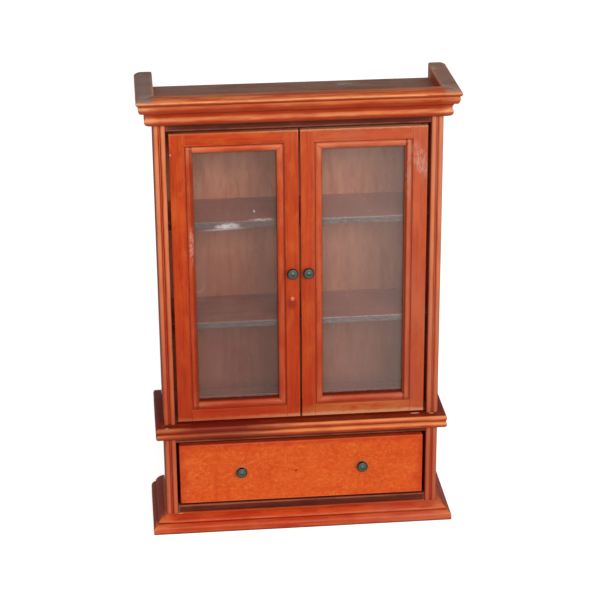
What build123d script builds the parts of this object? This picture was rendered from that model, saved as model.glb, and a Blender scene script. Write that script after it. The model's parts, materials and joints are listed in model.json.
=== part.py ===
from build123d import *
import os

# A 1:12 dolls' house display bookcase: two glazed doors over one full-width drawer.
# The wooden case carries a three-tier cornice, a reeded waist moulding and a plinth.
# Millimetres, +Z up, front towards -Y, origin in the middle of the footprint on the floor.

os.makedirs("parts", exist_ok=True)

# ---------------------------------------------------------------- driving dimensions
TOTAL_HEIGHT = 175.0
CASE_HALF_WIDTH = 52.9          # outside of a side panel
CASE_DEPTH = 33.1               # back of the case to the crest of the posts
CORNICE_PROJECTION = 5.9        # the widest moulding, past the case
WAIST_PROJECTION = 3.3
PLINTH_PROJECTION = 5.5
TOTAL_DEPTH = CASE_DEPTH + CORNICE_PROJECTION

BACK_Y = TOTAL_DEPTH / 2
POST_Y = BACK_Y - CASE_DEPTH    # crest of the reeded posts
FACE_Y = POST_Y + 1.0           # doors, drawer front and rails stand back from the posts

SIDE_THICKNESS = 3.2
BOARD_THICKNESS = 3.2
BACK_THICKNESS = 1.6
SHELF_THICKNESS = 2.5
DADO_DEPTH = 0.8                # shallow housings in the side panels
POST_WIDTH = 4.4
POST_THICKNESS = 3.0
RAIL_THICKNESS = 3.6

TRAY_DEPTH = 5.8                # the cornice stands this far above the top board
TOP_BOARD_TOP = TOTAL_HEIGHT - TRAY_DEPTH
CASE_TOP = TOP_BOARD_TOP - BOARD_THICKNESS
FRIEZE_BOTTOM = 161.3
UPPER_SHELF_TOP = 124.5
LOWER_SHELF_TOP = 84.4
MIDDLE_BOARD_TOP = 44.5
MIDDLE_BOARD_BOTTOM = MIDDLE_BOARD_TOP - BOARD_THICKNESS
WAIST_BOTTOM = 39.3
WAIST_RAIL_BOTTOM = 36.4
BOTTOM_BOARD_TOP = 9.2
BOTTOM_BOARD_BOTTOM = BOTTOM_BOARD_TOP - 3.6
PLINTH_TOP = 6.5

SHELF_FRONT_Y = FACE_Y + 3.8    # shelves end just behind the closed doors

DOOR_THICKNESS = 3.0
DOOR_BOTTOM = 45.3
DOOR_TOP = 160.2
DOOR_OUTER_X = 47.35
MEETING_GAP = 0.7
HINGE_STILE_WIDTH = 5.4
MEETING_STILE_WIDTH = 5.1
RAIL_WIDTH = 4.8
BEAD_WIDTH = 3.0
BEAD_THICKNESS = 1.9
BEAD_SETBACK = 0.15             # the bead's crest lies just under the frame's face
PANE_THICKNESS = 0.9

PIN_RADIUS = 0.4
PIN_FIT = 0.05                  # running clearance round a pivot pin
PIN_IN_DOOR = 3.0
PIN_IN_CASE = 2.2
PIN_FROM_EDGE = 1.5             # pivot axis to the outer edge of the hinge stile
PIN_SOCKET_DEPTH = 2.4
PIN_GRIP = 0.01                 # glue line round a pin in its stile

DRAWER_HALF_WIDTH = 47.45
DRAWER_FRONT_BOTTOM = 9.9
DRAWER_FRONT_TOP = 34.9
DRAWER_FRONT_THICKNESS = 3.2
DRAWER_SIDE_THICKNESS = 2.0
DRAWER_SIDE_HEIGHT = 21.0
DRAWER_SIDE_INSET = 0.35        # box side in from the end of the drawer front
DRAWER_FLOOR_GAP = 0.1          # running gap over the bottom board
DRAWER_REAR_GAP = 0.6
DRAWER_PANEL_THICKNESS = 1.2
DRAWER_PANEL_LIFT = 1.4
GROOVE_DEPTH = 0.7

KNOB_RADIUS = 2.1
KNOB_STEM_RADIUS = 0.6
KNOB_STEM_IN_WOOD = 2.2
DOOR_KNOB_X = 3.0
DOOR_KNOB_Z = 105.0
DRAWER_KNOB_X = 23.5
DRAWER_KNOB_Z = 23.2

SIDE_INNER_X = CASE_HALF_WIDTH - SIDE_THICKNESS
POST_INNER_X = CASE_HALF_WIDTH - POST_WIDTH
PANEL_FRONT_Y = POST_Y + POST_THICKNESS
BACK_FACE_Y = BACK_Y - BACK_THICKNESS
PIN_X = DOOR_OUTER_X - PIN_FROM_EDGE
PIN_Y = FACE_Y + DOOR_THICKNESS / 2


def keep(builder, name):
    """Label a finished piece and write it to its own file."""
    builder.part.label = name
    export_step(builder.part, f"parts/{name}.step")


def block(x0, x1, y0, y1, z0, z1, mode=Mode.ADD):
    """A square-cut piece of wood between two corners."""
    with BuildSketch(Plane.XY.offset(z0)) as section:
        with Locations(((x0 + x1) / 2, (y0 + y1) / 2)):
            Rectangle(x1 - x0, y1 - y0)
    extrude(section.sketch, amount=z1 - z0, mode=mode)


def keep_pair(builder, name):
    """Write the right-hand piece and its mirrored left-hand twin."""
    keep(builder, f"right_{name}")
    with BuildPart() as twin:
        mirror(builder.part, about=Plane.YZ)
    keep(twin, f"left_{name}")


# ---------------------------------------------------------------- side panels and back
HOUSED_BOARDS = (
    (MIDDLE_BOARD_BOTTOM, MIDDLE_BOARD_TOP, PANEL_FRONT_Y),
    (BOTTOM_BOARD_BOTTOM, BOTTOM_BOARD_TOP, PANEL_FRONT_Y),
    (UPPER_SHELF_TOP - SHELF_THICKNESS, UPPER_SHELF_TOP, SHELF_FRONT_Y),
    (LOWER_SHELF_TOP - SHELF_THICKNESS, LOWER_SHELF_TOP, SHELF_FRONT_Y),
)
HOUSED_X = SIDE_INNER_X + DADO_DEPTH
BACK_REBATE = SIDE_THICKNESS / 2

with BuildPart() as side_panel:
    block(SIDE_INNER_X, CASE_HALF_WIDTH, PANEL_FRONT_Y, BACK_Y, 0, CASE_TOP)
    for bottom, top, front in HOUSED_BOARDS:
        block(SIDE_INNER_X, HOUSED_X, front, BACK_FACE_Y, bottom, top, Mode.SUBTRACT)
    block(SIDE_INNER_X, SIDE_INNER_X + BACK_REBATE, BACK_FACE_Y, BACK_Y, 0, CASE_TOP, Mode.SUBTRACT)
keep_pair(side_panel, "side_panel")

with BuildPart() as back_panel:
    back_x = SIDE_INNER_X + BACK_REBATE
    block(-back_x, back_x, BACK_FACE_Y, BACK_Y, 0, CASE_TOP)
keep(back_panel, "back_panel")

# ---------------------------------------------------------------- boards, rails and shelves
with BuildPart() as top_board:
    block(-CASE_HALF_WIDTH, CASE_HALF_WIDTH, POST_Y, BACK_Y, CASE_TOP, TOP_BOARD_TOP)
keep(top_board, "top_board")


def pin_sockets(z, depth_up):
    """Blind pivot holes for both doors, drilled up or down from the level z."""
    radius = PIN_RADIUS + PIN_FIT
    with BuildSketch(Plane.XY.offset(z)) as mouths:
        with Locations((PIN_X, PIN_Y), (-PIN_X, PIN_Y)):
            Circle(radius)
    extrude(mouths.sketch, amount=depth_up, mode=Mode.SUBTRACT)


def notched_board(front_x, front_y, z0, z1, back_y, back_x):
    """A board whose front end passes or meets the posts and whose back is housed."""
    block(-front_x, front_x, front_y, PANEL_FRONT_Y, z0, z1)
    block(-back_x, back_x, PANEL_FRONT_Y, back_y, z0, z1)


with BuildPart() as frieze_rail:
    notched_board(POST_INNER_X, FACE_Y, FRIEZE_BOTTOM, CASE_TOP, FACE_Y + RAIL_THICKNESS, SIDE_INNER_X)
    pin_sockets(FRIEZE_BOTTOM, PIN_SOCKET_DEPTH)
keep(frieze_rail, "frieze_rail")

with BuildPart() as middle_board:
    notched_board(CASE_HALF_WIDTH, POST_Y, MIDDLE_BOARD_BOTTOM, MIDDLE_BOARD_TOP, BACK_FACE_Y, HOUSED_X)
    pin_sockets(MIDDLE_BOARD_TOP, -PIN_SOCKET_DEPTH)
keep(middle_board, "middle_board")

with BuildPart() as waist_rail:
    notched_board(POST_INNER_X, FACE_Y, WAIST_RAIL_BOTTOM, MIDDLE_BOARD_BOTTOM,
                  FACE_Y + RAIL_THICKNESS, SIDE_INNER_X)
keep(waist_rail, "waist_rail")

with BuildPart() as bottom_board:
    notched_board(POST_INNER_X, FACE_Y, BOTTOM_BOARD_BOTTOM, BOTTOM_BOARD_TOP, BACK_FACE_Y, HOUSED_X)
keep(bottom_board, "bottom_board")

with BuildPart() as plinth_rail:
    block(-POST_INNER_X, POST_INNER_X, POST_Y, PANEL_FRONT_Y, 0, BOTTOM_BOARD_BOTTOM)
    block(-POST_INNER_X, POST_INNER_X, POST_Y, FACE_Y, BOTTOM_BOARD_BOTTOM, PLINTH_TOP)
keep(plinth_rail, "plinth_rail")

for shelf_name, shelf_top in (("upper_shelf", UPPER_SHELF_TOP), ("lower_shelf", LOWER_SHELF_TOP)):
    with BuildPart() as shelf:
        block(-HOUSED_X, HOUSED_X, SHELF_FRONT_Y, BACK_FACE_Y, shelf_top - SHELF_THICKNESS, shelf_top)
    keep(shelf, shelf_name)

# ---------------------------------------------------------------- double-reeded posts
REED_GROOVE_WIDTH = 0.4
REED_GROOVE_DEPTH = 0.8
REED_RISE = 0.55                # how far a reed's crest stands past its edges
POST_SPANS = (("upper_post", MIDDLE_BOARD_TOP, CASE_TOP), ("lower_post", 0, MIDDLE_BOARD_BOTTOM))

for post_name, post_bottom, post_top in POST_SPANS:
    with BuildPart() as post:
        with BuildSketch(Plane.XY.offset(post_bottom)):
            with BuildLine():
                middle = (POST_INNER_X + CASE_HALF_WIDTH) / 2
                lip_in = middle - REED_GROOVE_WIDTH / 2
                lip_out = middle + REED_GROOVE_WIDTH / 2
                edge_y = POST_Y + REED_RISE
                groove_y = POST_Y + REED_GROOVE_DEPTH
                Line((POST_INNER_X, PANEL_FRONT_Y), (POST_INNER_X, edge_y))
                ThreePointArc((POST_INNER_X, edge_y), ((POST_INNER_X + lip_in) / 2, POST_Y), (lip_in, edge_y))
                Polyline((lip_in, edge_y), (lip_in, groove_y), (lip_out, groove_y), (lip_out, edge_y))
                ThreePointArc((lip_out, edge_y), ((lip_out + CASE_HALF_WIDTH) / 2, POST_Y),
                              (CASE_HALF_WIDTH, edge_y))
                Polyline((CASE_HALF_WIDTH, edge_y), (CASE_HALF_WIDTH, PANEL_FRONT_Y),
                         (POST_INNER_X, PANEL_FRONT_Y))
            make_face()
        extrude(amount=post_top - post_bottom)
    keep_pair(post, post_name)


# ---------------------------------------------------------------- mitred mouldings
# Each outline is drawn as (distance out from the case, height).
def cornice_outline():
    """Bullnose fascia, thumb mould, small cove and bead, rebated over the top board."""
    lip = -0.9
    bottom = 164.0
    Line((lip, TOTAL_HEIGHT), (3.2, TOTAL_HEIGHT))
    ThreePointArc((3.2, TOTAL_HEIGHT), (4.24, 174.86), (5.2, 174.45))
    ThreePointArc((5.2, 174.45), (5.7, 174.05), (CORNICE_PROJECTION, 173.4))
    Line((CORNICE_PROJECTION, 173.4), (5.3, 172.6))
    Line((5.3, 172.6), (4.9, 172.3))
    ThreePointArc((4.9, 172.3), (5.15, 171.1), (4.4, 169.5))
    Line((4.4, 169.5), (3.3, 169.2))
    ThreePointArc((3.3, 169.2), (2.8, 168.3), (2.7, 167.3))
    ThreePointArc((2.7, 167.3), (3.1, 166.0), (1.9, 164.4))
    Polyline((1.9, 164.4), (0.9, bottom), (0, bottom), (0, TOP_BOARD_TOP), (lip, TOP_BOARD_TOP),
             (lip, TOTAL_HEIGHT))


def waist_outline():
    """Two half-round reeds, one above the other."""
    reed = (MIDDLE_BOARD_TOP - WAIST_BOTTOM) / 2
    valley = WAIST_BOTTOM + reed
    lip = WAIST_PROJECTION - 0.7
    Line((0, MIDDLE_BOARD_TOP), (lip, MIDDLE_BOARD_TOP))
    ThreePointArc((lip, MIDDLE_BOARD_TOP), (WAIST_PROJECTION, valley + reed / 2), (lip, valley))
    ThreePointArc((lip, valley), (WAIST_PROJECTION, valley - reed / 2), (lip, WAIST_BOTTOM))
    Polyline((lip, WAIST_BOTTOM), (0, WAIST_BOTTOM), (0, MIDDLE_BOARD_TOP))


def plinth_outline():
    """A rounded weathering, a quirk and a plain skirting."""
    Line((0, PLINTH_TOP), (0.5, PLINTH_TOP))
    ThreePointArc((0.5, PLINTH_TOP), (2.5, 5.75), (3.7, 4.4))
    Line((3.7, 4.4), (3.5, 4.0))
    ThreePointArc((3.5, 4.0), (4.85, 3.35), (PLINTH_PROJECTION, 2.1))
    Line((PLINTH_PROJECTION, 2.1), (PLINTH_PROJECTION, 0.5))
    ThreePointArc((PLINTH_PROJECTION, 0.5), (5.35, 0.15), (5.0, 0))
    Polyline((5.0, 0), (0, 0), (0, PLINTH_TOP))


MITRE = Plane(origin=(CASE_HALF_WIDTH, POST_Y, 0), x_dir=(0, 0, 1), z_dir=(1, 1, 0))
LEFT_MITRE = Plane(origin=(-CASE_HALF_WIDTH, POST_Y, 0), x_dir=(0, 0, 1), z_dir=(-1, 1, 0))
FRONT_RUN = Plane(origin=(0, POST_Y, 0), x_dir=(0, -1, 0), z_dir=(-1, 0, 0))
SIDE_RUN = Plane(origin=(CASE_HALF_WIDTH, BACK_Y, 0), x_dir=(1, 0, 0), z_dir=(0, -1, 0))
RUN_HALF_LENGTH = CASE_HALF_WIDTH + CORNICE_PROJECTION

for moulding_name, outline in (("cornice", cornice_outline), ("waist", waist_outline),
                               ("plinth", plinth_outline)):
    with BuildPart() as front_moulding:
        with BuildSketch(FRONT_RUN):
            with BuildLine():
                outline()
            make_face()
        extrude(amount=RUN_HALF_LENGTH, both=True)
        split(bisect_by=MITRE, keep=Keep.BOTTOM)
        split(bisect_by=LEFT_MITRE, keep=Keep.BOTTOM)
    keep(front_moulding, f"{moulding_name}_front")

    with BuildPart() as side_moulding:
        with BuildSketch(SIDE_RUN):
            with BuildLine():
                outline()
            make_face()
        extrude(amount=TOTAL_DEPTH)
        split(bisect_by=MITRE, keep=Keep.TOP)
    keep_pair(side_moulding, f"{moulding_name}_side")


# ---------------------------------------------------------------- turned knob
def knob(x, z):
    """A small dished metal knob on a stem that is glued into the wood."""
    stem_end = -KNOB_STEM_IN_WOOD
    knob_axis = Plane(origin=(x, FACE_Y, z), x_dir=(1, 0, 0), z_dir=(0, 0, 1))
    with BuildSketch(knob_axis) as half_section:
        with BuildLine():
            Polyline((0, -stem_end), (KNOB_STEM_RADIUS, -stem_end), (KNOB_STEM_RADIUS, 0), (1.25, 0),
                     (1.25, -0.35))
            ThreePointArc((1.25, -0.35), (0.85, -0.9), (1.1, -1.4))
            ThreePointArc((1.1, -1.4), (KNOB_RADIUS, -2.25), (1.4, -3.0))
            Polyline((1.4, -3.0), (0, -3.15), (0, -stem_end))
        make_face()
    revolve(half_section.sketch, axis=Axis((x, FACE_Y, z), (0, 1, 0)))


def knob_hole(x, z, depth):
    """A drilled hole for a knob's stem, bored back from the face."""
    with BuildSketch(Plane(origin=(x, FACE_Y, z), x_dir=(1, 0, 0), z_dir=(0, -1, 0))) as mouth:
        Circle(KNOB_STEM_RADIUS + PIN_GRIP)
    extrude(mouth.sketch, amount=-depth, mode=Mode.SUBTRACT)


# ---------------------------------------------------------------- doors
DOOR_BACK_Y = FACE_Y + DOOR_THICKNESS
MEETING_X = MEETING_GAP / 2
OPENING_LEFT = MEETING_X + MEETING_STILE_WIDTH
OPENING_RIGHT = DOOR_OUTER_X - HINGE_STILE_WIDTH
OPENING_BOTTOM = DOOR_BOTTOM + RAIL_WIDTH
OPENING_TOP = DOOR_TOP - RAIL_WIDTH
BEAD_FRONT_Y = FACE_Y + BEAD_SETBACK
BEAD_BACK_Y = BEAD_FRONT_Y + BEAD_THICKNESS


def pin_hole(z, depth_up):
    """The tight hole for a pivot pin in the end of the hinge stile."""
    with BuildSketch(Plane.XY.offset(z)) as mouth:
        with Locations((PIN_X, PIN_Y)):
            Circle(PIN_RADIUS + PIN_GRIP)
    extrude(mouth.sketch, amount=depth_up, mode=Mode.SUBTRACT)


with BuildPart() as hinge_stile:
    block(OPENING_RIGHT, DOOR_OUTER_X, FACE_Y, DOOR_BACK_Y, DOOR_BOTTOM, DOOR_TOP)
    pin_hole(DOOR_BOTTOM, PIN_IN_DOOR)
    pin_hole(DOOR_TOP, -PIN_IN_DOOR)
keep_pair(hinge_stile, "door_hinge_stile")

with BuildPart() as meeting_stile:
    block(MEETING_X, OPENING_LEFT, FACE_Y, DOOR_BACK_Y, DOOR_BOTTOM, DOOR_TOP)
    knob_hole(DOOR_KNOB_X, DOOR_KNOB_Z, KNOB_STEM_IN_WOOD)
keep_pair(meeting_stile, "door_meeting_stile")

for rail_name, rail_bottom in (("door_top_rail", OPENING_TOP), ("door_bottom_rail", DOOR_BOTTOM)):
    with BuildPart() as door_rail:
        block(OPENING_LEFT, OPENING_RIGHT, FACE_Y, DOOR_BACK_Y, rail_bottom, rail_bottom + RAIL_WIDTH)
    keep_pair(door_rail, rail_name)

# Four mitred glazing beads go round the opening: name, first corner, way along, way inwards.
BEADS = (
    ("door_bottom_bead", (OPENING_LEFT, OPENING_BOTTOM), Vector(1, 0, 0), Vector(0, 0, 1)),
    ("door_hinge_bead", (OPENING_RIGHT, OPENING_BOTTOM), Vector(0, 0, 1), Vector(-1, 0, 0)),
    ("door_top_bead", (OPENING_RIGHT, OPENING_TOP), Vector(-1, 0, 0), Vector(0, 0, -1)),
    ("door_meeting_bead", (OPENING_LEFT, OPENING_TOP), Vector(0, 0, -1), Vector(1, 0, 0)),
)
OPENING_WIDTH = OPENING_RIGHT - OPENING_LEFT
OPENING_HEIGHT = OPENING_TOP - OPENING_BOTTOM
QUIRK_WIDTH = 0.35
QUIRK_DEPTH = 0.6

for bead_name, (corner_x, corner_z), along, inwards in BEADS:
    length = OPENING_WIDTH if along.X else OPENING_HEIGHT
    start = Vector(corner_x, BEAD_BACK_Y, corner_z)
    end = start + along * length
    with BuildPart() as bead:
        with BuildSketch(Plane(origin=start, x_dir=inwards, z_dir=along)):
            with BuildLine():
                crest = BEAD_THICKNESS
                shoulder = crest - QUIRK_DEPTH
                Polyline((0, 0), (0, shoulder), (QUIRK_WIDTH, shoulder))
                ThreePointArc((QUIRK_WIDTH, shoulder), (1.5, crest), (BEAD_WIDTH, crest - 0.9))
                Polyline((BEAD_WIDTH, crest - 0.9), (BEAD_WIDTH, 0), (0, 0))
            make_face()
        extrude(amount=length)
        split(bisect_by=Plane(origin=start, x_dir=(0, 1, 0), z_dir=along - inwards), keep=Keep.TOP)
        split(bisect_by=Plane(origin=end, x_dir=(0, 1, 0), z_dir=-along - inwards), keep=Keep.TOP)
    keep_pair(bead, bead_name)

with BuildPart() as door_pane:
    block(OPENING_LEFT, OPENING_RIGHT, BEAD_BACK_Y, BEAD_BACK_Y + PANE_THICKNESS,
          OPENING_BOTTOM, OPENING_TOP)
keep_pair(door_pane, "door_pane")

with BuildPart() as door_knob:
    knob(DOOR_KNOB_X, DOOR_KNOB_Z)
keep_pair(door_knob, "door_knob")

PINS = (
    ("door_top_pin", DOOR_TOP - PIN_IN_DOOR, FRIEZE_BOTTOM + PIN_IN_CASE),
    ("door_bottom_pin", MIDDLE_BOARD_TOP - PIN_IN_CASE, DOOR_BOTTOM + PIN_IN_DOOR),
)
for pin_name, pin_bottom, pin_top in PINS:
    with BuildPart() as pin:
        with BuildSketch(Plane.XY.offset(pin_bottom)):
            with Locations((PIN_X, PIN_Y)):
                Circle(PIN_RADIUS)
        extrude(amount=pin_top - pin_bottom)
    keep_pair(pin, pin_name)

# ---------------------------------------------------------------- drawer
BOX_FRONT_Y = FACE_Y + DRAWER_FRONT_THICKNESS
BOX_BACK_Y = BACK_FACE_Y - DRAWER_REAR_GAP
BOX_OUTER_X = DRAWER_HALF_WIDTH - DRAWER_SIDE_INSET
BOX_INNER_X = BOX_OUTER_X - DRAWER_SIDE_THICKNESS
BOX_BOTTOM = BOTTOM_BOARD_TOP + DRAWER_FLOOR_GAP
BOX_TOP = BOX_BOTTOM + DRAWER_SIDE_HEIGHT
PANEL_BOTTOM = BOX_BOTTOM + DRAWER_PANEL_LIFT
PANEL_TOP = PANEL_BOTTOM + DRAWER_PANEL_THICKNESS
BOX_END_Y = BOX_BACK_Y - DRAWER_SIDE_THICKNESS

with BuildPart() as drawer_front:
    block(-DRAWER_HALF_WIDTH, DRAWER_HALF_WIDTH, FACE_Y, BOX_FRONT_Y, DRAWER_FRONT_BOTTOM, DRAWER_FRONT_TOP)
    block(-BOX_INNER_X, BOX_INNER_X, BOX_FRONT_Y - GROOVE_DEPTH, BOX_FRONT_Y, PANEL_BOTTOM, PANEL_TOP,
          Mode.SUBTRACT)
    for side in (1, -1):
        knob_hole(side * DRAWER_KNOB_X, DRAWER_KNOB_Z, KNOB_STEM_IN_WOOD)
keep(drawer_front, "drawer_front")

with BuildPart() as drawer_side:
    block(BOX_INNER_X, BOX_OUTER_X, BOX_FRONT_Y, BOX_BACK_Y, BOX_BOTTOM, BOX_TOP)
    block(BOX_INNER_X, BOX_INNER_X + GROOVE_DEPTH, BOX_FRONT_Y, BOX_END_Y, PANEL_BOTTOM, PANEL_TOP,
          Mode.SUBTRACT)
keep_pair(drawer_side, "drawer_side")

with BuildPart() as drawer_back:
    block(-BOX_INNER_X, BOX_INNER_X, BOX_END_Y, BOX_BACK_Y, BOX_BOTTOM, BOX_TOP)
keep(drawer_back, "drawer_back")

with BuildPart() as drawer_bottom:
    block(-BOX_INNER_X, BOX_INNER_X, BOX_FRONT_Y - GROOVE_DEPTH, BOX_END_Y, PANEL_BOTTOM, PANEL_TOP)
    panel_x = BOX_INNER_X + GROOVE_DEPTH
    block(-panel_x, panel_x, BOX_FRONT_Y, BOX_END_Y, PANEL_BOTTOM, PANEL_TOP)
keep(drawer_bottom, "drawer_bottom")

with BuildPart() as drawer_knob:
    knob(DRAWER_KNOB_X, DRAWER_KNOB_Z)
keep_pair(drawer_knob, "drawer_knob")
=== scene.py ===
"""A 1:12 dolls' house display bookcase: two glazed doors over a drawer, in red mahogany stain.

Each wooden part is sawn or moulded to its packed place, its corners eased, its run made a
little uneven, and the wear and stain of its corners stored for the finish to read. The finish
lightens outer corners, partly as wear and partly as a painted highlight.
"""
import cmath
import json
import math
import random

import bmesh
import bpy
import numpy as np
from mathutils import Matrix, Vector


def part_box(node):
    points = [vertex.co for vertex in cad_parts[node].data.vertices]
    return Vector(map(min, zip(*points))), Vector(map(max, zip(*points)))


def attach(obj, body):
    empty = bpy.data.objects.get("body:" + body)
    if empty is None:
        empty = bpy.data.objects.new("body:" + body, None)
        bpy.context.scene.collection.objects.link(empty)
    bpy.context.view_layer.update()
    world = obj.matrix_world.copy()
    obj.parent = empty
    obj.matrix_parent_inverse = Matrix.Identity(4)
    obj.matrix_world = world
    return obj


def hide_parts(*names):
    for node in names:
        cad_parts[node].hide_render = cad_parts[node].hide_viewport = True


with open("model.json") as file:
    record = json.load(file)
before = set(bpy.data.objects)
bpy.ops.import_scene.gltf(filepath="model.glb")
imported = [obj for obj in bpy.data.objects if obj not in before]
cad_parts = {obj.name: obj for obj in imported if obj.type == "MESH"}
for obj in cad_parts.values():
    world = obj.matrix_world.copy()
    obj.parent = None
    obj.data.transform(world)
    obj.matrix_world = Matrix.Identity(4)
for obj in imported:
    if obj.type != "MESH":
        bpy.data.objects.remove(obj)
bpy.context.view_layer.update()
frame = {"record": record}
BODY_OF = {node: body for body, nodes in frame["record"]["behaviour"]["bodies"].items() for node in nodes}
MM = 0.001

# The case's main places in millimetres: out from the middle, then front to back.
HALF = 52.9
SIDE_INNER, POST_INNER, HOUSED = HALF - 3.2, HALF - 4.4, HALF - 2.4
POST_FACE = -13.6
FACE = POST_FACE + 1.0          # the doors, the drawer front and the rails
PANEL_FRONT = POST_FACE + 3.0
SHEET = FACE + 2.1              # front of the panes
RAIL_BACK = FACE + 3.6
BACK = 19.5
BACK_THICK = 1.6
BACK_FACE = BACK - BACK_THICK
PANEL_TOP = 166.0


# ---------------------------------------------------------------- bench tools
def only(piece):
    """Make one piece the only one selected, and the active one."""
    bpy.ops.object.select_all(action="DESELECT")
    piece.select_set(True)
    bpy.context.view_layer.objects.active = piece


def settle(piece, name):
    """Put the piece's place into its mesh, and name it."""
    only(piece)
    bpy.ops.object.transform_apply(location=True, rotation=True, scale=True)
    piece.name = name
    piece.data.name = name
    return piece


def open_shape(piece, mode="VERT"):
    """Go into edit mode on one piece."""
    only(piece)
    bpy.ops.object.mode_set(mode="EDIT")
    bpy.ops.mesh.select_mode(type=mode)


def close_shape(tidy_normals=False):
    """Leave edit mode, with every face turned outwards if asked."""
    if tidy_normals:
        bpy.ops.mesh.select_all(action="SELECT")
        bpy.ops.mesh.normals_make_consistent(inside=False)
    bpy.ops.object.mode_set(mode="OBJECT")


def pick(piece, kind, test):
    """In edit mode, select just the edges or faces that pass the test. Returns how many."""
    bpy.ops.mesh.select_mode(type=kind)
    bpy.ops.mesh.select_all(action="DESELECT")
    shape = bmesh.from_edit_mesh(piece.data)
    chosen = [item for item in (shape.edges if kind == "EDGE" else shape.faces) if test(item)]
    for item in chosen:
        item.select_set(True)
    bmesh.update_edit_mesh(piece.data)
    return len(chosen)


def arc(start, via, end, steps):
    """Points on the circle through three points, without the last one."""
    a, v, b = complex(*start), complex(*via), complex(*end)
    w = (b - a) / (v - a)
    centre = a + (v - a) * (w - abs(w) ** 2) / (2j * w.imag)
    sweep = cmath.phase((v - centre) / (a - centre)) + cmath.phase((b - centre) / (v - centre))
    points = [centre + (a - centre) * cmath.exp(1j * sweep * k / steps) for k in range(steps)]
    return [(p.real, p.imag) for p in points]


def with_holding_points(outline, reach=0.9):
    """Add a point near each end of every long straight, so that the wear and painted highlight on corners
    stay narrow.
    """
    held = []
    for (ax, ay), (bx, by) in zip(outline, outline[1:] + outline[:1]):
        held.append((ax, ay))
        length = math.hypot(bx - ax, by - ay)
        if length > 2.2 * reach:
            for share in (reach / length, 1 - reach / length):
                held.append((ax + (bx - ax) * share, ay + (by - ay) * share))
    return held


def drawn_out(name, outline, travel):
    """A closed outline of corner points, drawn out in a straight line."""
    bpy.ops.object.select_all(action="DESELECT")
    bpy.ops.mesh.primitive_circle_add(vertices=len(outline), radius=0.01, fill_type="NGON")
    piece = bpy.context.object
    for corner, place in zip(piece.data.vertices, outline):
        corner.co = place
    settle(piece, name)
    open_shape(piece)
    bpy.ops.mesh.select_all(action="SELECT")
    bpy.ops.mesh.extrude_region_move(TRANSFORM_OT_translate={"value": travel})
    close_shape(tidy_normals=True)
    return piece


def cut_away(piece, place, facing):
    """Saw through the piece at a plane and drop what lies on the far side of it."""
    open_shape(piece)
    bpy.ops.mesh.select_all(action="SELECT")
    bpy.ops.mesh.bisect(plane_co=place, plane_no=facing, use_fill=True, clear_outer=True)
    close_shape(tidy_normals=True)


def mirrored(piece, name):
    """The left-hand twin of a right-hand piece, with a mesh of its own."""
    only(piece)
    bpy.ops.object.duplicate()
    twin = bpy.context.object
    twin.scale.x = -1
    settle(twin, name)
    open_shape(twin)
    close_shape(tidy_normals=True)
    return twin


def sawn(node, name=None):
    """A square-sawn block that fills the node's box."""
    low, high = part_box(node)
    bpy.ops.object.select_all(action="DESELECT")
    bpy.ops.mesh.primitive_cube_add(size=1, location=(low + high) / 2, scale=high - low)
    return settle(bpy.context.object, name or f"{node}_wood")


# ---------------------------------------------------------------- easing, wear and painted highlight, and stain marks
EASED = 0.22 * MM
WEAR_AND_HIGHLIGHT_REACH = 0.95 * MM
POOL_REACH = 0.6 * MM
LEAST_TURN = 0.05               # radians: a flatter edge is no corner
FULL_TURN = 1.3                 # radians of turn that show in full
SHARP, SMOOTH = math.radians(40), math.radians(50)
END_CORNERS = 12                # a face with more corners is the sawn end of a moulding
END_WEAR = 0.1
FRAME_WIDTH, FRAME_SHARE = 0.8 * MM, 0.28
uneven = bpy.data.textures.new("hand planing", "CLOUDS")
uneven.noise_scale = 0.011
uneven.noise_depth = 1
chance = random.Random(1912)


def corner_lines(piece):
    """Every edge with its turn in radians, above zero where it sticks out."""
    shape = bmesh.new()
    shape.from_mesh(piece.data)
    lines = []
    for edge in shape.edges:
        turn = edge.calc_face_angle_signed(0.0)
        if abs(turn) > LEAST_TURN:
            lines.append((np.array(edge.verts[0].co), np.array(edge.verts[1].co), turn))
    shape.free()
    return lines


def mark_corners(piece, lines, rub=1.0, pool_reach=POOL_REACH):
    """Store the wear and painted highlight and the stained-up share of each face corner, and the piece's
    place in the log.
    """
    mesh = piece.data
    places = np.array([v.co for v in mesh.vertices])
    rubbed = np.zeros(len(places))
    pooled = np.zeros(len(places))
    for start, end, turn in lines:
        run = end - start
        share = np.clip(((places - start) @ run) / (run @ run), 0, 1)
        away = np.linalg.norm(places - start - share[:, None] * run, axis=1)
        if turn > 0:
            rubbed += rub * turn * np.clip(1 - away / WEAR_AND_HIGHLIGHT_REACH, 0, 1)
        else:
            pooled -= turn * np.clip(1 - away / pool_reach, 0, 1)
    corner = np.array([loop.vertex_index for loop in mesh.loops])
    blank = np.zeros(len(corner), bool)
    for face in mesh.polygons:
        if len(face.vertices) > END_CORNERS:
            blank[face.loop_start:face.loop_start + face.loop_total] = True
    for title, values in (("rubbed", rubbed), ("pooled", pooled)):
        stored = mesh.attributes.new(title, "FLOAT", "CORNER")
        spread = np.clip(values / FULL_TURN, 0, 1)[corner]
        spread[blank] = END_WEAR
        stored.data.foreach_set("value", spread.astype(np.float32))
    plank = mesh.attributes.new("plank", "FLOAT_VECTOR", "POINT")
    origin = [chance.uniform(-1, 1) for _ in range(3)]
    plank.data.foreach_set("vector", np.tile(np.array(origin, np.float32), len(places)))


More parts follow.
